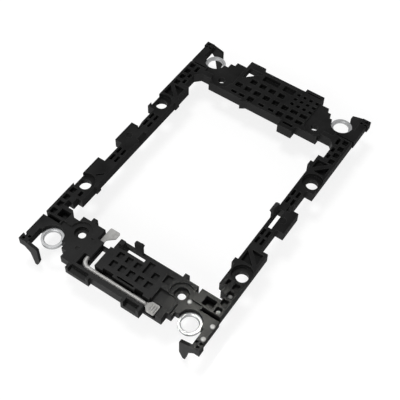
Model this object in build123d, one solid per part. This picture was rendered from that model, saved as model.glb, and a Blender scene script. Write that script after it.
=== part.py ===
"""Processor carrier and retention frame: one moulded frame, four metal rings and a wire lever.

Millimetres. +X runs along the frame, away from the lever end, +Y across it and +Z up.
The origin lies under the middle of the frame, on the plane of the four leg tips.
"""
import os
from collections import namedtuple

from build123d import *

# Window for the processor package, and the bars and rails around it
window_length = 81.0
window_width = 60.5
bar_length = 20.0
rail_width = 8.75
leg_drop = 9.0
wall_height = 4.4
floor_thickness = 1.0
wall = 0.9
tip_proud = 1.0

# End bars: how far each step of the outline stands back from the full length and the window's width
step_inset = 5.4
step_setback = 6.45
shoulder_setback = 8.45
near_wall_inset = 1.3
far_wall_inset = 1.6
near_shoulder_inset = 2.4
far_shoulder_inset = 3.4
near_tab_high = (7.6, 17.8)
near_tab_low = (-14.1, -6.4)
far_tab_high = (10.0, 17.0)
far_tab_low = (-17.7, -9.7)

# Corner plates, arms and snap legs
corner_length = 13.0
arm_width = 3.5
arm_proud = 0.4
tip_length = 2.7
corner_step = 0.8
groove_width = 1.2
leg_thickness = 1.2
leg_inset = 4.1
leg_width = 4.0
leg_root_drop = 0.4
leg_shoulder_drop = 1.5
leg_draft = 0.4
leg_tip_inset = 5.7
leg_tip_width = 1.0
leg_tip_height = 3.5
leg_gusset = 2.3
leg_rounding = 0.8
leg_tip_rounding = 0.4
pit_size = 1.1
pit_depth = 1.2
pit_insets = ((1.15, 1.4), (2.8, 1.1), (2.7, 2.9))
stud_radius = 1.0
stud_height = 0.5
stud_side_inset = 1.5
stud_end_insets = (4.6, 10.2)
plate_stud_insets = (13.6, 13.1)

# Metal rings and their seats
ring_end_inset = 7.7
ring_side_inset = 9.0
ring_outer_radius = 4.3
ring_bore_radius = 3.1
ring_thickness = 1.2
ring_bevel = 0.3
ring_shelf_thickness = 0.6
ring_shelf_width = 0.8
ring_seat_clearance = 0.12

# Rails: guide holes, outer notches, corner reliefs and pockets
guide_pitch_x = 48.8
guide_offset_x = -3.5
guide_side_inset = 4.1
guide_hole_radius = 2.3
guide_relief_radius = 2.6
guide_step_radius = 4.1
guide_step_depth = 1.8
guide_web = 1.2
notch_start = 5.3
notch_length = 10.6
notch_depth = 3.1
notch_pocket_length = 3.1
notch_pocket_width = 1.2
notch_pocket_pitch_x = 4.0
notch_pocket_pitch_y = 2.1
ramp_start = 4.0
ramp_length = 3.8
ramp_drop = 1.6
ramp_width = 1.6
lead_in_span = (-0.3, 4.2)
lead_in_depth = 1.1
lead_in_height = 2.6
near_relief_length = 5.1
far_relief_length = 7.0
relief_depth = 2.2
slit_depth = 4.3
slit_length = 2.6
corner_notch_depth = 2.3
corner_notch_setback = 4.95
near_notch_width = 1.4
corner_pocket_setback = 0.65
rail_pocket_start = 3.0
rail_pocket_length = 2.6
rail_pocket_width = 2.3
rail_pocket_pitch = 3.7
rail_pocket_count = 4
rail_pocket_depth = 1.8
truss_length = 6.0
truss_gap = 0.6
truss_rib = 1.1
slant_groove = 0.9
slant_groove_insets = ((4.2, 3.2), (6.6, 0.9))
rail_inner_pocket = (2.4, 1.4)
rail_inner_gap = 5.3
rail_inner_inset = 2.35
relief_pocket_insets = (3.4, 3.35)
relief_pocket_count = 2
dimple_radius = 1.35
dimple_depth = 0.4
dimple_x = -0.5

# Package clips, stops and teeth along the window; the near clip is measured toward -Y
clip_beam = 1.1
clip_beam_depth = 2.0
clip_slot_width = 1.9
near_clip_slot = (-4.0, 5.0)
near_clip_post = (-1.3, 1.9)
near_clip_rise = (5.2, 6.2)
rail_clip_slot = (-6.0, 3.2)
rail_clip_post = (-1.9, 2.3)
rail_clip_rise = (6.4, 4.7)
clip_nose = 0.7
clip_nose_height = 1.6
stop_length = 2.4
right_stop_proud = 1.2
right_stop_insets = (15.9, 12.2)
left_stop_proud = 0.6
left_stop_insets = (14.1, 15.9)
stop_post_size = 2.0
stop_post_rise = 2.0
stop_post_inset = 1.7
stop_post_y = 6.4
near_tooth_length = 1.8
near_tooth_proud = 1.7
near_teeth = (21.0, -19.4)
far_tooth_proud = 1.5
far_tooth_span = (7.2, 9.4)
far_ledge_proud = 3.0
far_ledge_span = (-15.7, -9.3)
ledge_groove = 1.2

# Plate holes, the near ones placed from the end of the frame and the far ones from the window
near_plate_inset = 14.5
far_plate_gap = 4.6
plate_hole_setback = 8.35
plate_hole_radius = 1.5
plate_recess_radius = 2.7
plate_recess_depth = 1.4
plate_web = 1.0
plate_relief_radius = 2.3
plate_round_radius = 4.3
plate_dimple_inset = 8.6
plate_dimple_setback = 11.25
plate_dimple_radius = 0.8

# Rib grids and small pockets of the end bars, placed by their distance from the window
near_grid_depth = 1.4
near_grid_inset = 9.6
near_grid_y = -3.2
near_grid_pitch_x = 4.2
near_grid_pitch_y = 3.75
near_grid_rows = 5
near_grid_pocket = (2.9, 2.4)
near_grid_inner_pocket = (2.6, 2.4)
near_long_inset = 1.5
near_side_pocket = (3.6, 2.8)
near_side_inset = 4.0
near_side_y = -15.2
far_grid_depth = 1.9
far_grid_inset = 6.1
far_grid_y = 3.6
far_grid_pitch_x = 4.6
far_grid_pitch_y = 4.36
far_grid_pocket = (2.6, 2.9)
far_inner_count = 6
far_outer_count = 4
far_long_insets = (13.4, 16.7)
far_long_spans = ((0.6, 8.1), (-6.7, -1.4))
far_edge_pocket = (1.4, 2.6)
far_edge_inset = 1.9
far_edge_ys = (14.2, 10.5, 1.3, -3.3)
far_pit_inset = 12.5
far_pit_y = -12.7
far_pit_pitch = 2.8
far_pit_size = 1.5
far_pit_columns = 3
far_pit_rows = 4
far_side_pocket = (2.2, 3.2)
far_side_inset = 4.5
far_side_y = -13.6
far_side_pitch_x = 3.7
far_side_pitch_y = 4.3
funnel_size = 2.8
funnel_inset = 2.0
funnel_ys = (6.4, -7.2)
tab_recess_length = 2.3
tab_recess_depth = 2.4
tab_wall = 1.1
tab_groove = 0.8
triangle_end_inset = 3.3
triangle_y = 15.6
triangle_side = 6.6
triangle_skin = 1.5
triangle_margin = 0.8

# Wire lever and its housing
wire_diameter = 1.7
lever_axis_y = 14.0
lever_axis_rise = 1.5
lever_arm_inset = 4.7
lever_bend_radius = 2.6
thumb_end = -18.5
thumb_length = 4.6
thumb_neck = 1.4
thumb_width = 4.2
paddle_thickness = 0.6
paddle_rounding = 0.6
thumb_stem = 0.2
blade_stem = 2.0
blade_neck = 4.3
blade_width = 4.3
blade_offset = 1.25
blade_length = 7.1
bearing_setback = 3.5
bearing_clearance = 0.08
bearing_mouth = 1.2
channel_clearance = 0.55
channel_floor_gap = 0.35
thumb_end_gap = 0.9
thumb_side_gap = 0.3
well_length = 4.5
well_gap_high = 0.4
well_gap_low = 2.3
lever_slot_width = 3.1
lever_slot_gap = 1.5
lever_slot_wall = 1.2
side_groove_gap = 0.6
side_groove_width = 0.7
side_groove_span = (-6.9, 0.2)
channel_pocket_width = 1.0
channel_pocket_spans = ((1.6, 6.0), (-11.3, -7.8))
tray_span = (-22.1, -14.6)
tray_insets = (13.6, 7.8)
tray_depth = 1.5

# Derived places
window_x = window_length / 2
window_y = window_width / 2
half_length = window_x + bar_length
half_width = window_y + rail_width
rail_outer = half_width - tip_proud
arm_outer = rail_outer + arm_proud
rail_bottom = leg_drop
rail_top = leg_drop + wall_height
floor_top = rail_bottom + floor_thickness
plate_top = rail_top - corner_step
corner_start = half_length - corner_length
arm_inner = half_width - arm_width
ring_x = half_length - ring_end_inset
ring_y = half_width - ring_side_inset
ring_bottom = rail_bottom + ring_shelf_thickness
seat_radius = ring_outer_radius + ring_seat_clearance
guide_y = half_width - guide_side_inset
guide_xs = (guide_offset_x - guide_pitch_x / 2, guide_offset_x + guide_pitch_x / 2)
notch_floor = rail_outer - notch_depth
corner_notch_start = window_y - corner_notch_setback
plate_hole_xs = {-1: near_plate_inset - half_length, 1: window_x + far_plate_gap}
plate_hole_y = window_y - plate_hole_setback
pocket_row_x = corner_start - rail_pocket_start
pocket_row_y = rail_outer - wall - rail_pocket_width / 2
wire_radius = wire_diameter / 2
lever_z = floor_top + lever_axis_rise
lever_arm_x = lever_arm_inset - half_length
bearing_start_x = lever_arm_x + bearing_setback
bearing_end_x = -window_x - well_length
channel_half = wire_radius + channel_clearance
channel_edge = lever_arm_x + channel_half
channel_floor = lever_z - wire_radius - channel_floor_gap
thumb_start = thumb_end + thumb_length
blade_y = lever_axis_y - blade_offset
well_span = (blade_y - blade_width / 2 - well_gap_low, blade_y + blade_width / 2 + well_gap_high)
lever_slot_top = lever_axis_y - lever_slot_gap
lever_slot_span = (lever_slot_top - lever_slot_width, lever_slot_top)
sides = (1, -1)
corners = [(way, side) for way in sides for side in sides]

End = namedtuple("End", "sign wall_x shoulder_x tabs")
near_wall_x = half_length - near_wall_inset
near_shoulder_x = half_length - near_shoulder_inset
near_end = End(-1, near_wall_x, near_shoulder_x, (near_tab_low, near_tab_high))
far_wall_x = half_length - far_wall_inset
far_shoulder_x = half_length - far_shoulder_inset
far_end = End(1, far_wall_x, far_shoulder_x, (far_tab_low, far_tab_high))


def patch(x_limits, y_limits):
    """Flat rectangle between two x limits and two y limits, in any order."""
    middle = Pos((x_limits[0] + x_limits[1]) / 2, (y_limits[0] + y_limits[1]) / 2)
    return middle * Rectangle(abs(x_limits[1] - x_limits[0]), abs(y_limits[1] - y_limits[0]))


def span(middle, length):
    """Limits of a stretch of given length about its middle."""
    return (middle - length / 2, middle + length / 2)


def polygon(*points):
    """Flat face inside a closed run of straight edges."""
    return make_face(Polyline(*points, close=True))


def slabs(faces, bottom, top):
    """Flat faces raised into prisms between two heights."""
    return [extrude(Pos(0, 0, bottom) * face, amount=top - bottom) for face in faces]


def grid(middle, pitch, count, size):
    """Rectangles of one size on a regular grid about a middle point."""
    return [Pos(*middle) * spot * Rectangle(*size) for spot in GridLocations(*pitch, *count)]


def turned(*points):
    """Solid turned about Z from a closed profile of radius and height."""
    return revolve(Plane.XZ * polygon(*points), Axis.Z)


def four_corners(solid):
    """A far left solid and its mirrored copies at the other three corners."""
    pair = [solid, mirror(solid, Plane.YZ)]
    return pair + [mirror(one, Plane.XZ) for one in pair]


def end_bar(end):
    """Stepped outline of one end bar, from the window edge to its outer tabs."""
    reaches = [
        (ring_x, (-window_y, window_y)),
        (half_length - step_inset, span(0, window_width - 2 * step_setback)),
        (end.shoulder_x, span(0, window_width - 2 * shoulder_setback)),
        (end.wall_x, (end.tabs[0][1], end.tabs[1][0])),
        (half_length, end.tabs[0]),
        (half_length, end.tabs[1]),
    ]
    return [patch((end.sign * window_x, end.sign * outer), y_limits) for outer, y_limits in reaches]


def rail(side):
    """Outline of one long rail with the arms at its two ends."""
    arm_limits = (side * arm_inner, side * arm_outer)
    tip_limits = (side * arm_inner, side * half_width)
    tip_start = half_length - tip_length
    arms = [patch((way * corner_start, way * half_length), arm_limits) for way in sides]
    tips = [patch((way * tip_start, way * half_length), tip_limits) for way in sides]
    return [patch((-ring_x, ring_x), (side * window_y, side * rail_outer))] + arms + tips


def window_stops():
    """Small stops and teeth that stand into the window."""
    right_limits = (-window_y, right_stop_proud - window_y)
    left_limits = (window_y, window_y - left_stop_proud)
    tooth_limits = (-window_x, near_tooth_proud - window_x)
    stops = []
    for way, right_inset, left_inset in zip((-1, 1), right_stop_insets, left_stop_insets):
        stops.append(patch(span(way * (window_x - right_inset), stop_length), right_limits))
        stops.append(patch(span(way * (window_x - left_inset), stop_length), left_limits))
    stops += [patch(tooth_limits, span(middle, near_tooth_length)) for middle in near_teeth]
    stops.append(patch((window_x, window_x - far_ledge_proud), far_ledge_span))
    tooth_tip = (window_x - far_tooth_proud, far_tooth_span[1])
    stops.append(polygon((window_x, far_tooth_span[1]), tooth_tip, (window_x, far_tooth_span[0])))
    return stops


def corner_cuts():
    """Reliefs, slits and steps at the four window corners, and the round ring seats."""
    step_x = window_x + corner_notch_depth
    near_notch = polygon(
        (-step_x, corner_notch_start),
        (-window_x, corner_notch_start),
        (-window_x, window_y),
        (-step_x, window_y - corner_notch_depth),
    )
    narrow_notch = (-corner_notch_start, -corner_notch_start - near_notch_width)
    cuts = [near_notch, patch((-step_x, -window_x), narrow_notch)]
    for side in sides:
        relief = (side * window_y, side * (window_y + relief_depth))
        slit = (side * window_y, side * (window_y + slit_depth))
        cuts.append(patch((-window_x, near_relief_length - window_x), relief))
        cuts.append(patch((-window_x, slit_length - window_x), slit))
        cuts.append(patch((window_x - far_relief_length, window_x), relief))
        cuts.append(patch((window_x, step_x), (side * corner_notch_start, side * window_y)))
        cuts.append(polygon((window_x, relief[0]), (step_x, relief[0]), (window_x, relief[1])))
    cuts += [Pos(way * ring_x, side * ring_y) * Circle(seat_radius) for way, side in corners]
    return cuts


def notch_cuts():
    """Outer notches either side of the middle of each rail."""
    notch_end = notch_start + notch_length
    return [
        patch((way * notch_start, way * notch_end), (side * notch_floor, side * half_width))
        for way, side in corners
    ]


def lever_openings():
    """Openings through the near bar: the blade's well and the slot beside the bearing."""
    slot_limits = (channel_edge, bearing_end_x - lever_slot_wall)
    return [patch((bearing_end_x, -window_x), well_span), patch(slot_limits, lever_slot_span)]


def clip_slots():
    """Slots behind the two flexing clip beams."""
    near_face = -window_x - clip_beam
    rail_face = -window_y - clip_beam
    return [
        patch((near_face - clip_slot_width, near_face), near_clip_slot),
        patch(rail_clip_slot, (rail_face - clip_slot_width, rail_face)),
    ]


def plan():
    """The frame's outline seen from above, before its pockets."""
    outline = Sketch() + (end_bar(near_end) + end_bar(far_end) + rail(1) + rail(-1) + window_stops())
    return outline - (corner_cuts() + notch_cuts() + lever_openings() + clip_slots())


def lowered_plates():
    """Areas of the four corner plates and arms that lie below the rails' top."""
    starts = {
        (-1, 1): well_span[1] + wall,
        (-1, -1): wall - tray_span[0],
        (1, 1): far_tab_high[1],
        (1, -1): -far_tab_low[0],
    }
    areas = []
    for (way, side), start in starts.items():
        arm_limits = (way * corner_start, way * half_length)
        areas.append(patch((plate_hole_xs[way], way * half_length), (side * start, side * window_y)))
        areas.append(patch(arm_limits, (side * window_y, side * half_width)))
        areas.append(Pos(plate_hole_xs[way], side * plate_hole_y) * Circle(plate_round_radius))
    return areas


def truss(x_from, x_to, side):
    """Two triangular pockets with a slanting rib between them, in one stretch of rail."""
    inner = side * (window_y + wall)
    outer = side * (rail_outer - wall)
    across = side * truss_rib
    along = truss_rib if x_to > x_from else -truss_rib
    return [
        polygon((x_from, inner), (x_to - along, inner), (x_from, outer - across)),
        polygon((x_to, outer), (x_from + along, outer), (x_to, inner + across)),
    ]


def rail_pockets(side):
    """Shallow pockets in the top of one rail."""
    row_middle = pocket_row_x - rail_pocket_pitch * (rail_pocket_count - 1) / 2
    row_size = (rail_pocket_length, rail_pocket_width)
    notch_middle = notch_start + notch_length / 2
    notch_y = side * (window_y + notch_floor) / 2
    notch_pitch = (notch_pocket_pitch_x, notch_pocket_pitch_y)
    notch_size = (notch_pocket_length, notch_pocket_width)
    cuts = []
    for way in sides:
        row = (way * row_middle, side * pocket_row_y)
        cuts += grid(row, (rail_pocket_pitch, 1), (rail_pocket_count, 1), row_size)
        cuts += grid((way * notch_middle, notch_y), notch_pitch, (2, 2), notch_size)
    clear = guide_step_radius + truss_gap
    inner_place = Pos(guide_xs[0] - rail_inner_gap, side * (window_y + rail_inner_inset))
    cuts.append(inner_place * Rectangle(*rail_inner_pocket))
    relief_row = (window_x - relief_pocket_insets[0], side * (window_y + relief_pocket_insets[1]))
    cuts += grid(relief_row, (rail_pocket_pitch, 1), (relief_pocket_count, 1), rail_inner_pocket)
    cuts += truss(guide_xs[1] + clear + truss_length, guide_xs[1] + clear, side)
    return cuts


def near_rail_pockets():
    """Truss pockets beside the near guide hole of the right rail, and a slanting groove on the left."""
    clear = guide_xs[0] + guide_step_radius + truss_gap
    (start_x, start_y), (end_x, end_y) = slant_groove_insets
    groove = polygon(
        (guide_xs[0] + start_x, window_y + start_y),
        (guide_xs[0] + start_x + slant_groove, window_y + start_y),
        (guide_xs[0] + end_x + slant_groove, window_y + end_y),
        (guide_xs[0] + end_x, window_y + end_y),
    )
    return truss(clear, clear + truss_length, -1) + [groove]


def corner_pockets(side):
    """Deep grooves and pockets where one rail meets its corner plates."""
    groove_start = corner_start - groove_width
    groove_limits = (side * (ring_y + ring_shelf_width), side * half_width)
    pocket_end = side * (pocket_row_y - rail_pocket_width / 2 - wall)
    pocket_limits = (groove_start - wall, window_x + corner_notch_depth - wall)
    near_limits = (-pocket_limits[0], -pocket_limits[1])
    cuts = [patch((way * groove_start, way * corner_start), groove_limits) for way in sides]
    cuts.append(patch(near_limits, (side * (window_y - corner_pocket_setback), pocket_end)))
    cuts.append(patch(pocket_limits, (side * (window_y + relief_depth), pocket_end)))
    return cuts


def near_pockets():
    """Rib grid of the near bar, its smaller pockets and the groove beside the lever."""
    pitch = (1, near_grid_pitch_y)
    count = (1, near_grid_rows)
    outer_x = -window_x - near_grid_inset
    inner_x = outer_x + near_grid_pitch_x
    long_y = near_grid_y - near_grid_pitch_y
    groove_start = channel_edge + side_groove_gap
    cuts = grid((outer_x, near_grid_y), pitch, count, near_grid_pocket)
    cuts += grid((inner_x, near_grid_y), pitch, count, near_grid_inner_pocket)
    cuts.append(patch((inner_x, -window_x - near_long_inset), span(long_y, near_grid_inner_pocket[1])))
    cuts.append(Pos(-window_x - near_side_inset, near_side_y) * Rectangle(*near_side_pocket))
    cuts.append(patch((groove_start, groove_start + side_groove_width), side_groove_span))
    return cuts


def far_pockets():
    """Rib grid of the far bar, with its long pockets, small pits and grooves."""
    inner_x = window_x + far_grid_inset
    outer_x = inner_x + far_grid_pitch_x
    pitch = (1, far_grid_pitch_y)
    long_limits = [window_x + inset for inset in far_long_insets]
    pit_place = (window_x + far_pit_inset, far_pit_y)
    side_place = (window_x + far_side_inset, far_side_y)
    side_pitch = (far_side_pitch_x, far_side_pitch_y)
    pit_pitch = (far_pit_pitch, far_pit_pitch)
    groove_end = half_length - tab_wall
    ledge_limits = (far_ledge_span[0] + wall, far_ledge_span[1] - wall)
    tab_limits = (far_tab_low[0] + tab_wall, far_tab_low[1] - tab_wall)
    cuts = grid((inner_x, far_grid_y), pitch, (1, far_inner_count), far_grid_pocket)
    cuts += grid((outer_x, far_grid_y), pitch, (1, far_outer_count), far_grid_pocket)
    cuts += [patch(long_limits, limits) for limits in far_long_spans]
    cuts += [Pos(window_x + far_edge_inset, y) * Rectangle(*far_edge_pocket) for y in far_edge_ys]
    cuts += grid(pit_place, pit_pitch, (far_pit_columns, far_pit_rows), (far_pit_size, far_pit_size))
    cuts += grid(side_place, side_pitch, (2, 2), far_side_pocket)
    cuts += [Pos(window_x + funnel_inset, y) * Rectangle(funnel_size, funnel_size) for y in funnel_ys]
    cuts.append(patch((window_x - ledge_groove, window_x), ledge_limits))
    cuts.append(patch((groove_end - tab_groove, groove_end), tab_limits))
    return cuts


def tab_recesses():
    """Recesses in the two near tabs, open toward the end of the frame."""
    limits = (-half_length, tab_recess_length - half_length)
    return [patch(limits, (low + tab_wall, high - tab_wall)) for low, high in near_end.tabs]


def turned_cuts():
    """Stepped guide holes and plate holes, plain far plate holes, and the shallow dimples."""
    guide_floor = rail_top - guide_step_depth
    guide = turned(
        (0, 0),
        (guide_relief_radius, 0),
        (guide_relief_radius, guide_floor - guide_web),
        (guide_hole_radius, guide_floor - guide_web),
        (guide_hole_radius, guide_floor),
        (guide_step_radius, guide_floor),
        (guide_step_radius, rail_top),
        (0, rail_top),
    )
    plate_floor = plate_top - plate_recess_depth
    plain_hole = turned(
        (0, 0),
        (plate_relief_radius, 0),
        (plate_relief_radius, plate_floor - plate_web),
        (plate_hole_radius, plate_floor - plate_web),
        (plate_hole_radius, rail_top),
        (0, rail_top),
    )
    recess = Pos(0, 0, (plate_floor + rail_top) / 2) * Cylinder(plate_recess_radius, rail_top - plate_floor)
    plate_holes = {-1: plain_hole + recess, 1: plain_hole}
    tab_dimple = Pos(0, 0, rail_top) * Cylinder(dimple_radius, 2 * dimple_depth)
    plate_dimple = Cylinder(plate_dimple_radius, 2 * dimple_depth)
    cuts = [Pos(x, side * guide_y) * guide for x in guide_xs for side in sides]
    cuts += [Pos(plate_hole_xs[way], side * plate_hole_y) * plate_holes[way] for way, side in corners]
    cuts += [Pos(dimple_x, side * guide_y) * tab_dimple for side in sides]
    dimple_y = window_y - plate_dimple_setback
    cuts.append(Pos(plate_dimple_inset - half_length, dimple_y, plate_top) * plate_dimple)
    return cuts


def wedge_cuts():
    """Ramps at the rails' notches, and the sloped lead-in on the left rail's window edge."""
    ramp_end = ramp_start + ramp_length
    ramp = polygon((ramp_start, rail_top - ramp_drop), (ramp_end, rail_top), (ramp_start, rail_top))
    ramp = extrude(Plane.XZ * ramp, amount=ramp_width)
    lead_in_end = window_y + lead_in_depth
    lead_in = polygon((window_y, rail_top - lead_in_height), (lead_in_end, rail_top), (window_y, rail_top))
    lead_in = extrude(Plane.YZ * lead_in, amount=lead_in_span[1] - lead_in_span[0])
    return [
        Pos(0, notch_floor, 0) * ramp,
        Pos(0, ramp_width - notch_floor, 0) * ramp,
        Pos(lead_in_span[0], 0, 0) * lead_in,
    ]


def triangle_cuts():
    """Three-cornered hole in the far bar, through a thin skin that is hollow below."""
    corner_x = half_length - triangle_end_inset
    inner_x = corner_x - triangle_side
    inner_y = triangle_y - triangle_side
    hole = polygon((corner_x, triangle_y), (inner_x, triangle_y), (corner_x, inner_y))
    hollow_x = corner_x + triangle_margin
    hollow_y = triangle_y + triangle_margin
    hollow = polygon((hollow_x, hollow_y), (inner_x, hollow_y), (hollow_x, inner_y))
    return slabs([hole], rail_bottom, rail_top) + slabs([hollow], rail_bottom, rail_top - triangle_skin)


def lever_cuts():
    """Channel, thumb recess, tray and side-opening snap bearing for the wire lever."""
    arm_limits = span(lever_arm_x, 2 * channel_half)
    shaft_limits = span(lever_axis_y, 2 * channel_half)
    bend_x = (lever_arm_x, lever_arm_x + lever_bend_radius)
    bend_y = (lever_axis_y - lever_bend_radius, lever_axis_y)
    recess_edge = lever_arm_x + thumb_width / 2 + thumb_side_gap
    channel = [
        patch(arm_limits, (near_tab_low[0], shaft_limits[1])),
        patch((arm_limits[0], bearing_start_x), shaft_limits),
        patch(bend_x, bend_y),
        patch((-half_length, recess_edge), (thumb_end - thumb_end_gap, near_tab_low[0])),
    ]
    pocket_limits = (lever_arm_x, channel_edge + channel_pocket_width)
    channel += [patch(pocket_limits, limits) for limits in channel_pocket_spans]
    mouth_bottom = lever_z - bearing_mouth / 2
    mouth = patch((bearing_start_x, bearing_end_x), (lever_slot_span[0], lever_axis_y))
    slot_wall = patch((bearing_end_x - lever_slot_wall, bearing_end_x), lever_slot_span)
    bore_face = Plane.YZ * Circle(wire_radius + bearing_clearance)
    bore = extrude(bore_face, amount=bearing_end_x - bearing_start_x)
    tray = patch([-window_x - inset for inset in tray_insets], tray_span)
    return (
        slabs(channel, channel_floor, rail_top)
        + slabs([tray], rail_top - tray_depth, rail_top)
        + slabs([mouth], mouth_bottom, mouth_bottom + bearing_mouth)
        + slabs([slot_wall], mouth_bottom, rail_top)
        + [Pos(bearing_start_x, lever_axis_y, lever_z) * bore]
    )


def beam_cuts():
    """Undercuts that leave each clip on a shallow flexing beam."""
    beams = [
        patch((-window_x - clip_beam, -window_x), near_clip_slot),
        patch(rail_clip_slot, (-window_y - clip_beam, -window_y)),
    ]
    return slabs(beams, rail_bottom, rail_top - clip_beam_depth)


def arm_pits():
    """Small square pits near the ends of the corner arms."""
    pits = [
        Pos(way * (half_length - end_inset), side * (half_width - side_inset)) * Rectangle(pit_size, pit_size)
        for way, side in corners
        for end_inset, side_inset in pit_insets
    ]
    return slabs(pits, plate_top - pit_depth, plate_top)


def snap_leg():
    """End wall and snap leg at the far left corner, from a profile across the frame."""
    leg_outer = half_width - leg_inset
    leg_inner = leg_outer - leg_width
    leg_tip = half_width - leg_tip_inset
    profile = polygon(
        (half_width, rail_bottom),
        (half_width, plate_top),
        (leg_outer, plate_top - leg_root_drop),
        (leg_inner, plate_top - leg_shoulder_drop),
        (leg_inner, leg_tip_height),
        (leg_tip - leg_tip_width, 0),
        (leg_tip, 0),
        (leg_outer - leg_draft, rail_bottom - leg_gusset),
        (leg_outer - leg_draft + leg_gusset, rail_bottom),
    )
    profile = fillet(profile.vertices().sort_by(Axis.X)[0:2], leg_rounding)
    profile = fillet(profile.vertices().sort_by(Axis.Y)[0:2], leg_tip_rounding)
    leg = extrude(Plane.YZ * profile, amount=leg_thickness)
    return Pos(half_length - leg_thickness, 0, 0) * leg


def ring_shelf():
    """Shelf under the far left ring, on the inboard half of its seat."""
    shelf = Circle(seat_radius) - Circle(ring_outer_radius - ring_shelf_width)
    shelf = shelf & patch((-seat_radius, 0), (-seat_radius, seat_radius))
    return slabs([Pos(ring_x, ring_y) * shelf], rail_bottom, ring_bottom)[0]


def clip_post(limits, rises):
    """Upright clip on a flexing beam, with a nose over the window, which lies along +Y."""
    start, end = limits
    blade = polygon((start, -clip_beam_depth), (end, -clip_beam_depth), (end, rises[1]), (start, rises[0]))
    post = extrude(Plane.XZ * blade, amount=clip_beam)
    nose_top = min(rises)
    nose_tip = (clip_nose, nose_top - clip_nose_height / 2)
    nose = polygon((0, nose_top - clip_nose_height), nose_tip, (0, nose_top))
    nose = extrude(Plane.YZ * nose, amount=end - start)
    return post + Pos(start, 0, 0) * nose


def studs():
    """Low domed studs on the near right arm and plate and in two of the pockets beside them."""
    dome_radius = (stud_radius ** 2 + stud_height ** 2) / (2 * stud_height)
    dome = split(Pos(0, 0, stud_height - dome_radius) * Sphere(dome_radius), Plane.XY)
    arm_y = stud_side_inset - half_width
    pocket_xs = (-pocket_row_x, 2 * rail_pocket_pitch - pocket_row_x)
    pocket_floor = rail_top - rail_pocket_depth
    end_inset, side_inset = plate_stud_insets
    placed = [Pos(inset - half_length, arm_y, plate_top) * dome for inset in stud_end_insets]
    placed += [Pos(x, -pocket_row_y, pocket_floor) * dome for x in pocket_xs]
    placed.append(Pos(end_inset - half_length, side_inset - half_width, plate_top) * dome)
    return placed


def stop_post():
    """Short square post at the end of the near clip's slot."""
    place = Pos(-window_x - stop_post_inset, stop_post_y)
    return slabs([place * Rectangle(stop_post_size, stop_post_size)], floor_top, rail_top + stop_post_rise)[0]


def carrier_frame():
    """The whole moulded frame."""
    body = slabs([plan()], rail_bottom, rail_top)[0] + four_corners(snap_leg())
    cuts = slabs(lowered_plates(), plate_top, rail_top)
    cuts += slabs(near_pockets(), rail_top - near_grid_depth, rail_top)
    cuts += slabs(far_pockets(), rail_top - far_grid_depth, rail_top)
    rail_cuts = rail_pockets(1) + rail_pockets(-1) + near_rail_pockets()
    cuts += slabs(rail_cuts, rail_top - rail_pocket_depth, rail_top)
    cuts += slabs(corner_pockets(1) + corner_pockets(-1), floor_top, rail_top)
    cuts += slabs(tab_recesses(), rail_top - tab_recess_depth, rail_top)
    cuts += turned_cuts() + wedge_cuts() + triangle_cuts() + lever_cuts() + beam_cuts() + arm_pits()
    near_clip = Pos(-window_x, 0, rail_top) * Rot(0, 0, -90) * clip_post(near_clip_post, near_clip_rise)
    rail_clip = Pos(0, -window_y, rail_top) * clip_post(rail_clip_post, rail_clip_rise)
    return (body - cuts) + (four_corners(ring_shelf()) + studs() + [near_clip, rail_clip, stop_post()])


def ring():
    """Metal ring with a bevelled bore, resting on its shelf at the far left corner."""
    solid = turned(
        (ring_bore_radius, 0),
        (ring_outer_radius, 0),
        (ring_outer_radius, ring_thickness),
        (ring_bore_radius + ring_bevel, ring_thickness),
        (ring_bore_radius, ring_thickness - ring_bevel),
    )
    return Pos(ring_x, ring_y, ring_bottom) * solid


def paddle(start, stem, neck, length, width, offset):
    """Flattened wire end that runs along +X from a start point, then spreads beyond its stem."""
    face = polygon(
        (0, wire_radius),
        (stem, wire_radius),
        (neck, offset + width / 2),
        (length, offset + width / 2),
        (length, offset - width / 2),
        (neck, offset - width / 2),
        (stem, -wire_radius),
        (0, -wire_radius),
    )
    face = fillet(face.vertices().sort_by(Axis.X)[4:], paddle_rounding)
    flat = extrude(face, amount=paddle_thickness / 2, both=True)
    return start * flat


def lever():
    """Bent wire lever: blade in the well, shaft in the bearing, arm and thumb paddle in the channel."""
    path = FilletPolyline(
        (bearing_end_x, lever_axis_y, lever_z),
        (lever_arm_x, lever_axis_y, lever_z),
        (lever_arm_x, thumb_start, lever_z),
        radius=lever_bend_radius,
    )
    wire = sweep(Plane(path @ 0, z_dir=path % 0) * Circle(wire_radius), path)
    blade_place = Pos(bearing_end_x, lever_axis_y, lever_z)
    blade = paddle(blade_place, blade_stem, blade_neck, blade_length, blade_width, -blade_offset)
    thumb_place = Pos(lever_arm_x, thumb_start, lever_z) * Rot(0, 0, -90)
    thumb = paddle(thumb_place, thumb_stem, thumb_neck, thumb_length, thumb_width, 0)
    return wire + [blade, thumb]


os.makedirs("parts", exist_ok=True)
export_step(carrier_frame(), "parts/carrier_frame.step")
ring_names = ("ring_far_left", "ring_near_left", "ring_far_right", "ring_near_right")
for name, solid in zip(ring_names, four_corners(ring())):
    export_step(solid, f"parts/{name}.step")
export_step(lever(), "parts/lever.step")
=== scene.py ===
"""Looks of the processor carrier frame: satin black plastic, plain metal rings and a steel wire lever."""
import math

import bmesh
import bpy
from mathutils import Matrix, Vector


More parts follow.
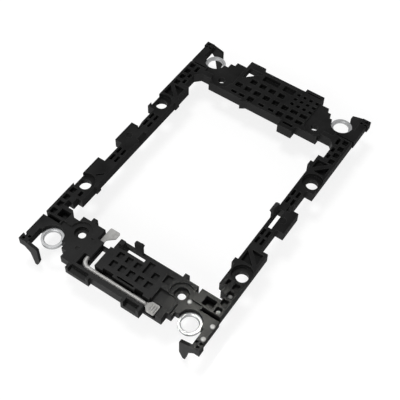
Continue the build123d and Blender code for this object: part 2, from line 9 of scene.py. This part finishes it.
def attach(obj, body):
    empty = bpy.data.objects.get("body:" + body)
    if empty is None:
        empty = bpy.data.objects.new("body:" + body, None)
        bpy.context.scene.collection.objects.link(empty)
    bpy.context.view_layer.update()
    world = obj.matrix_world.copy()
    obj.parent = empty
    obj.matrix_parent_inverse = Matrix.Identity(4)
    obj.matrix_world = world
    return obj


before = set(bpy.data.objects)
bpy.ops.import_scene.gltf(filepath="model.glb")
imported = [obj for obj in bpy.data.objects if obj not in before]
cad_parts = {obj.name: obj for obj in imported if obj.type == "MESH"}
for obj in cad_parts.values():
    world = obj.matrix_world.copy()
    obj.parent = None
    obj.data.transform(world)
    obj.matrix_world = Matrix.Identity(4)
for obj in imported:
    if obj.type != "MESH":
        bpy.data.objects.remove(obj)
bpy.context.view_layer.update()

# Camera, in degrees, metres and pixels of a 400 by 400 picture
camera_azimuth = -57.238
camera_elevation = 54.611
camera_roll = 1.888
camera_distance = 0.321518
camera_target = (-0.008185, -0.003717, 0.01)
camera_nearest = 0.01
picture_width = 400
focal_pixels = 861.971
sensor_width = 36.0

# Studio walls and ceiling: brightness, and how high the direction rises where each begins
wall_level = 1.0
ceiling_level = 0.3
wall_rise = 0.4
ceiling_rise = 0.65
studio_colour = (1.0, 1.0, 1.0, 1.0)

# White floor: its own colour, and the glow added to it in direct and mirrored views
floor_size = 4.0
floor_colour = (0.3, 0.3, 0.3, 1.0)
floor_glow = 0.76

# Square lamps: place, side, power in watts and spread in degrees
white_light = (1.0, 1.0, 1.0)
wide_spread = 180.0
lamp_aim = (0.0, 0.0, 0.01)
key_place = (0.08, 0.20, 0.75)
key_side = 0.2
key_power = 1.9
fill_place = (-0.70, -0.02, 0.32)
fill_side = 0.6
fill_power = 3.2

# Small lamp on the near right corner's plate and ring
corner_place = (-0.009, -0.006, 0.120)
corner_aim = (-0.049, -0.032, 0.0126)
corner_side = 0.02
corner_power = 0.0005
corner_spread = 11.0
corner_light = (1.0, 1.0, 0.9)

# Range of a noise texture that carries its contrast, and a full range
noise_range = (0.3, 0.7)
full_range = (0.0, 1.0)

# Plastic
plastic_dark = (0.005, 0.005, 0.005, 1.0)
plastic_light = (0.011, 0.011, 0.011, 1.0)
plastic_specular = 0.13
plastic_roughness = (0.29, 0.38)
cloud_scale = 140.0
cloud_detail = 5.0
grain_scale = 5200.0
grain_detail = 3.0
grain_height = 0.00003
grain_strength = 0.35

# Upright plastic walls: range of the normal's X or Y over which their finish sets in, and its roughness
wall_facing = (0.5, 0.9)
wall_roughness = {"X": 0.5, "Y": 0.85}

# Plastic edges: rounding, the cosine of the rounding's turn, and the painted highlight that follows it
edge_radius = 0.0002
edge_samples = 6
edge_turn = (0.99, 0.75)
edge_highlight_range = (0.0, 0.85)
edge_highlight_colour = (0.05, 0.05, 0.048, 1.0)

# Painted highlight: pale stud tops on the near right arm, rail and plate, where the corner lamp's
# reflection falls
stud_highlight_colour = (0.46, 0.46, 0.45, 1.0)
stud_highlight_reach = (0.00102, 0.0007)
stud_highlight_places = (
    (-0.0559, -0.0375, 0.0126),
    (-0.0503, -0.0375, 0.0126),
    (-0.0445, -0.03595, 0.0116),
    (-0.0371, -0.03595, 0.0116),
    (-0.0469, -0.0259, 0.0126),
)

# Metallic share of the lever and the rings
bare_metal = 1.0

# Lever steel: painted light and shade, with a lighter copy of the drawn wire's steel and a darker copy
# where its ends are pressed flat
lit_wire_dark = (0.58, 0.575, 0.56, 1.0)
lit_wire_light = (0.78, 0.775, 0.76, 1.0)
shaded_flat_dark = (0.37, 0.367, 0.357, 1.0)
shaded_flat_light = (0.55, 0.545, 0.532, 1.0)
thumb_middle = (-0.0558, -0.0164, 0.0115)
thumb_reach = (0.0034, 0.003)
blade_middle = (-0.0405, 0.01275, 0.0115)
blade_reach = (0.0055, 0.005)
steel_roughness = (0.64, 0.76)
steel_scale = 900.0
steel_detail = 4.0
dent_height = 0.00006
dent_strength = 0.12
drawn_stretch = (0.06, 0.06, 6.0)
drawn_height = 0.00002
drawn_strength = 0.25

# Grip ribs on the lever's thumb plate
grip_middle = (-0.0558, -0.0168, 0.0118)
grip_count = 3
grip_pitch = 0.00095
grip_length = 0.0029
grip_width = 0.00044
grip_height = 0.0003
grip_root = 0.00005
grip_stations = 16
grip_arc_steps = 8
grip_end_swell = 0.25
grip_bluntness = 6

# Ring metal
ring_dark = (0.41, 0.415, 0.42, 1.0)
ring_light = (0.52, 0.525, 0.53, 1.0)
ring_roughness = (0.46, 0.58)
ring_middle = (0.5, 0.5, 0.0)
ring_plane = (1.0, 1.0, 0.0)
ring_scale = 700.0
ring_detail = 4.0
tool_line_scale = 130.0
tool_line_detail = 3.0
tool_line_height = 0.00002
tool_line_strength = 0.2


def new_material(name):
    """Empty node material with a Principled shader joined to its output."""
    material = bpy.data.materials.new(name)
    material.use_nodes = True
    nodes = material.node_tree.nodes
    nodes.clear()
    shader = nodes.new("ShaderNodeBsdfPrincipled")
    output = nodes.new("ShaderNodeOutputMaterial")
    material.node_tree.links.new(shader.outputs["BSDF"], output.inputs["Surface"])
    return material, nodes, material.node_tree.links, shader


def noise(nodes, links, coordinates, scale, detail, stretch=None):
    """Noise texture in the object's own metres, stretched along an axis if asked."""
    texture = nodes.new("ShaderNodeTexNoise")
    texture.inputs["Scale"].default_value = scale
    texture.inputs["Detail"].default_value = detail
    if stretch is None:
        links.new(coordinates, texture.inputs["Vector"])
    else:
        mapping = nodes.new("ShaderNodeMapping")
        mapping.inputs["Scale"].default_value = stretch
        links.new(coordinates, mapping.inputs["Vector"])
        links.new(mapping.outputs["Vector"], texture.inputs["Vector"])
    return texture.outputs["Fac"]


def remap(nodes, links, value, source, target):
    """A value carried from one range to another."""
    node = nodes.new("ShaderNodeMapRange")
    node.inputs["From Min"].default_value, node.inputs["From Max"].default_value = source
    node.inputs["To Min"].default_value, node.inputs["To Max"].default_value = target
    links.new(value, node.inputs["Value"])
    return node.outputs["Result"]


def blend(nodes, links, factor, first, second):
    """Two colours mixed by a factor; a colour is a constant or a node's output."""
    node = nodes.new("ShaderNodeMix")
    node.data_type = "RGBA"
    links.new(factor, node.inputs["Factor"])
    sockets = [socket for socket in node.inputs if socket.type == "RGBA"]
    for socket, colour in zip(sockets, (first, second)):
        if isinstance(colour, tuple):
            socket.default_value = colour
        else:
            links.new(colour, socket)
    return next(socket for socket in node.outputs if socket.type == "RGBA")


def bump(nodes, links, height, strength, distance, normal=None):
    """Small relief from a height value."""
    node = nodes.new("ShaderNodeBump")
    node.inputs["Strength"].default_value = strength
    node.inputs["Distance"].default_value = distance
    links.new(height, node.inputs["Height"])
    if normal is not None:
        links.new(normal, node.inputs["Normal"])
    return node.outputs["Normal"]


def larger(nodes, links, first, second):
    """The larger of two values."""
    node = nodes.new("ShaderNodeMath")
    node.operation = "MAXIMUM"
    links.new(first, node.inputs[0])
    links.new(second, node.inputs[1])
    return node.outputs["Value"]


def vector_step(nodes, links, operation, vector, constant=None):
    """One vector operation on a vector, with a constant where it needs one."""
    node = nodes.new("ShaderNodeVectorMath")
    node.operation = operation
    links.new(vector, node.inputs[0])
    if constant is not None:
        node.inputs[1].default_value = constant
    return node


def spot_mask(nodes, links, place, spots):
    """One round the middle of each spot, fading to zero over the spot's reach."""
    total = None
    for middle, reach in spots:
        distance = vector_step(nodes, links, "DISTANCE", place, middle).outputs["Value"]
        inside = remap(nodes, links, distance, reach, full_range)
        total = inside if total is None else larger(nodes, links, total, inside)
    return total


def edge_highlight_mask(nodes, links, rounded_normal):
    """Painted highlight that grows where the rounded normal turns away from the flat face."""
    turn = vector_step(nodes, links, "DOT_PRODUCT", rounded_normal)
    links.new(nodes.new("ShaderNodeNewGeometry").outputs["True Normal"], turn.inputs[1])
    return remap(nodes, links, turn.outputs["Value"], edge_turn, edge_highlight_range)


def upright_roughness(nodes, links, normal):
    """Roughness of the upright walls: dull along the rails, smoother across the ends."""
    parts = nodes.new("ShaderNodeSeparateXYZ")
    links.new(normal, parts.inputs["Vector"])
    total = None
    for axis, roughness in wall_roughness.items():
        facing = nodes.new("ShaderNodeMath")
        facing.operation = "ABSOLUTE"
        links.new(parts.outputs[axis], facing.inputs[0])
        dull = remap(nodes, links, facing.outputs["Value"], wall_facing, (0.0, roughness))
        total = dull if total is None else larger(nodes, links, total, dull)
    return total


def moulded_plastic():
    """Black moulded plastic: fine spark grain, uneven sheen, and painted highlights on the edges and on
    the stud tops.
    """
    material, nodes, links, shader = new_material("moulded_plastic")
    coordinates = nodes.new("ShaderNodeTexCoord")
    place = coordinates.outputs["Object"]
    rounding = nodes.new("ShaderNodeBevel")
    rounding.samples = edge_samples
    rounding.inputs["Radius"].default_value = edge_radius
    rounded_normal = rounding.outputs["Normal"]
    cloud = noise(nodes, links, place, cloud_scale, cloud_detail)
    grain = noise(nodes, links, place, grain_scale, grain_detail)
    tone = remap(nodes, links, cloud, noise_range, full_range)
    plain = blend(nodes, links, tone, plastic_dark, plastic_light)
    # Painted highlight: a lighter colour along the rounded edges
    with_edge_highlight = blend(nodes, links, edge_highlight_mask(nodes, links, rounded_normal), plain, edge_highlight_colour)
    # Painted highlight: pale colour on the stud tops near the corner lamp
    stud_highlights = spot_mask(nodes, links, place, [(stud, stud_highlight_reach) for stud in stud_highlight_places])
    colour = blend(nodes, links, stud_highlights, with_edge_highlight, stud_highlight_colour)
    flat_roughness = remap(nodes, links, cloud, noise_range, plastic_roughness)
    walls = upright_roughness(nodes, links, coordinates.outputs["Normal"])
    roughness = larger(nodes, links, flat_roughness, walls)
    relief = bump(nodes, links, grain, grain_strength, grain_height, rounded_normal)
    links.new(colour, shader.inputs["Base Color"])
    links.new(roughness, shader.inputs["Roughness"])
    links.new(relief, shader.inputs["Normal"])
    shader.inputs["Specular IOR Level"].default_value = plastic_specular
    return material


def drawn_steel():
    """Satin drawn wire: faint lines along its length, a mottled sheen, and painted shade on the ends
    pressed flat, which get a darker copy of the steel.
    """
    material, nodes, links, shader = new_material("drawn_steel")
    place = nodes.new("ShaderNodeTexCoord").outputs["Object"]
    lines = noise(nodes, links, place, steel_scale, steel_detail, drawn_stretch)
    mottle = noise(nodes, links, place, steel_scale, steel_detail)
    tone = remap(nodes, links, mottle, noise_range, full_range)
    roughness = remap(nodes, links, mottle, noise_range, steel_roughness)
    dents = bump(nodes, links, mottle, dent_strength, dent_height)
    # Painted light and shade: a lighter copy of the steel on the round wire, a darker one on the flat
    # ends
    wire = blend(nodes, links, tone, lit_wire_dark, lit_wire_light)
    ends = blend(nodes, links, tone, shaded_flat_dark, shaded_flat_light)
    pressed = spot_mask(nodes, links, place, ((thumb_middle, thumb_reach), (blade_middle, blade_reach)))
    links.new(blend(nodes, links, pressed, wire, ends), shader.inputs["Base Color"])
    links.new(roughness, shader.inputs["Roughness"])
    links.new(bump(nodes, links, lines, drawn_strength, drawn_height, dents), shader.inputs["Normal"])
    shader.inputs["Metallic"].default_value = bare_metal
    return material


def turned_metal():
    """Turned rings: fine circular tool lines round each ring's own middle."""
    material, nodes, links, shader = new_material("turned_metal")
    place = nodes.new("ShaderNodeTexCoord")
    arm = vector_step(nodes, links, "SUBTRACT", place.outputs["Generated"], ring_middle).outputs["Vector"]
    flat_arm = vector_step(nodes, links, "MULTIPLY", arm, ring_plane).outputs["Vector"]
    radius = vector_step(nodes, links, "LENGTH", flat_arm).outputs["Value"]
    tool_lines = nodes.new("ShaderNodeTexNoise")
    tool_lines.noise_dimensions = "1D"
    tool_lines.inputs["Scale"].default_value = tool_line_scale
    tool_lines.inputs["Detail"].default_value = tool_line_detail
    links.new(radius, tool_lines.inputs["W"])
    lines = tool_lines.outputs["Fac"]
    mottle = noise(nodes, links, place.outputs["Object"], ring_scale, ring_detail)
    tone = remap(nodes, links, lines, noise_range, full_range)
    roughness = remap(nodes, links, mottle, noise_range, ring_roughness)
    links.new(blend(nodes, links, tone, ring_dark, ring_light), shader.inputs["Base Color"])
    links.new(roughness, shader.inputs["Roughness"])
    links.new(bump(nodes, links, lines, tool_line_strength, tool_line_height), shader.inputs["Normal"])
    shader.inputs["Metallic"].default_value = bare_metal
    return material


def rib_section(along):
    """Half-round outline of a grip rib at a share of its half length, rooted in the plate."""
    swell = max(grip_end_swell, 1 - abs(along) ** grip_bluntness)
    half_width = swell * grip_width / 2
    angles = [math.pi * step / grip_arc_steps for step in range(grip_arc_steps + 1)]
    arc = [(half_width * math.cos(angle), swell * grip_height * math.sin(angle)) for angle in angles]
    return arc + [(-half_width, -grip_root), (half_width, -grip_root)]


def add_rib(ribs, shift):
    """One closed rib across the thumb plate, at a distance from the middle one."""
    loops = []
    for station in range(grip_stations + 1):
        along = 2 * station / grip_stations - 1
        x = along * grip_length / 2
        loops.append([ribs.verts.new((x, shift + y, z)) for y, z in rib_section(along)])
    for near, far in zip(loops, loops[1:]):
        for corner in range(len(near)):
            ribs.faces.new((near[corner - 1], near[corner], far[corner], far[corner - 1]))
    ribs.faces.new(loops[0])
    ribs.faces.new(loops[-1])


def thumb_grip(material):
    """Row of low rounded ribs on the lever's thumb plate."""
    ribs = bmesh.new()
    for index in range(grip_count):
        add_rib(ribs, (index - (grip_count - 1) / 2) * grip_pitch)
    bmesh.ops.translate(ribs, verts=ribs.verts, vec=grip_middle)
    bmesh.ops.recalc_face_normals(ribs, faces=ribs.faces)
    for face in ribs.faces:
        face.smooth = True
    mesh = bpy.data.meshes.new("thumb_grip")
    ribs.to_mesh(mesh)
    ribs.free()
    mesh.materials.append(material)
    grip = bpy.data.objects.new("thumb_grip", mesh)
    bpy.context.collection.objects.link(grip)
    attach(grip, "lever")


def seen_directly(nodes, links):
    """One for camera, mirror and see-through rays, and zero for the rays that light the object."""
    path = nodes.new("ShaderNodeLightPath")
    total = path.outputs["Is Camera Ray"]
    for name in ("Is Glossy Ray", "Is Transmission Ray"):
        total = larger(nodes, links, total, path.outputs[name])
    return total


def studio_world():
    """Studio with white walls that darken toward the ceiling."""
    world = bpy.data.worlds.new("studio")
    bpy.context.scene.world = world
    world.use_nodes = True
    nodes = world.node_tree.nodes
    links = world.node_tree.links
    background = nodes["Background"]
    background.inputs["Color"].default_value = studio_colour
    direction = nodes.new("ShaderNodeSeparateXYZ")
    links.new(nodes.new("ShaderNodeTexCoord").outputs["Generated"], direction.inputs["Vector"])
    rise = direction.outputs["Z"]
    level = remap(nodes, links, rise, (wall_rise, ceiling_rise), (wall_level, ceiling_level))
    links.new(level, background.inputs["Strength"])


def studio_floor():
    """Plain white floor that keeps the object's shadow."""
    bpy.ops.mesh.primitive_plane_add(size=floor_size, location=(0.0, 0.0, 0.0))
    floor = bpy.context.object
    floor.name = "floor"
    material = bpy.data.materials.new("white_floor")
    material.use_nodes = True
    nodes = material.node_tree.nodes
    links = material.node_tree.links
    nodes.clear()
    diffuse = nodes.new("ShaderNodeBsdfDiffuse")
    diffuse.inputs["Color"].default_value = floor_colour
    glow = nodes.new("ShaderNodeEmission")
    level = remap(nodes, links, seen_directly(nodes, links), full_range, (0.0, floor_glow))
    links.new(level, glow.inputs["Strength"])
    both = nodes.new("ShaderNodeAddShader")
    links.new(diffuse.outputs["BSDF"], both.inputs[0])
    links.new(glow.outputs["Emission"], both.inputs[1])
    output = nodes.new("ShaderNodeOutputMaterial")
    links.new(both.outputs["Shader"], output.inputs["Surface"])
    floor.data.materials.append(material)


def softbox(name, place, aim, side, power, colour=white_light, spread=wide_spread):
    """Square soft lamp at a place, turned toward its aim."""
    light = bpy.data.lights.new(name, "AREA")
    light.shape = "SQUARE"
    light.size = side
    light.energy = power
    light.color = colour
    light.spread = math.radians(spread)
    lamp = bpy.data.objects.new(name, light)
    lamp.location = place
    lamp.rotation_euler = (Vector(aim) - Vector(place)).to_track_quat("-Z", "Y").to_euler()
    bpy.context.collection.objects.link(lamp)


def studio_camera():
    """Camera at the photograph's viewing angle."""
    azimuth = math.radians(camera_azimuth)
    elevation = math.radians(camera_elevation)
    roll = math.radians(camera_roll)
    right = Vector((math.cos(azimuth), math.sin(azimuth), 0.0))
    level = math.cos(elevation)
    back = Vector((math.sin(azimuth) * level, -math.cos(azimuth) * level, math.sin(elevation)))
    up = back.cross(right)
    turned_right = right * math.cos(roll) + up * math.sin(roll)
    turned_up = up * math.cos(roll) - right * math.sin(roll)
    place = Vector(camera_target) + back * camera_distance
    lens = bpy.data.cameras.new("camera")
    lens.sensor_width = sensor_width
    lens.lens = focal_pixels * sensor_width / picture_width
    lens.clip_start = camera_nearest
    camera = bpy.data.objects.new("camera", lens)
    axes = Matrix((turned_right, turned_up, back)).transposed()
    camera.matrix_world = Matrix.Translation(place) @ axes.to_4x4()
    bpy.context.collection.objects.link(camera)
    bpy.context.scene.camera = camera


def dress(node, material):
    """Give a node its material."""
    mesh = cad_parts[node].data
    mesh.materials.clear()
    mesh.materials.append(material)


dress("carrier_frame", moulded_plastic())
lever_material = drawn_steel()
dress("lever", lever_material)
thumb_grip(lever_material)
ring_material = turned_metal()
for ring in ("ring_near_left", "ring_near_right", "ring_far_left", "ring_far_right"):
    dress(ring, ring_material)

bpy.context.scene.view_settings.view_transform = "Standard"
studio_world()
studio_floor()
softbox("key", key_place, lamp_aim, key_side, key_power)
softbox("fill", fill_place, lamp_aim, fill_side, fill_power)
softbox("corner", corner_place, corner_aim, corner_side, corner_power, corner_light, corner_spread)
studio_camera()
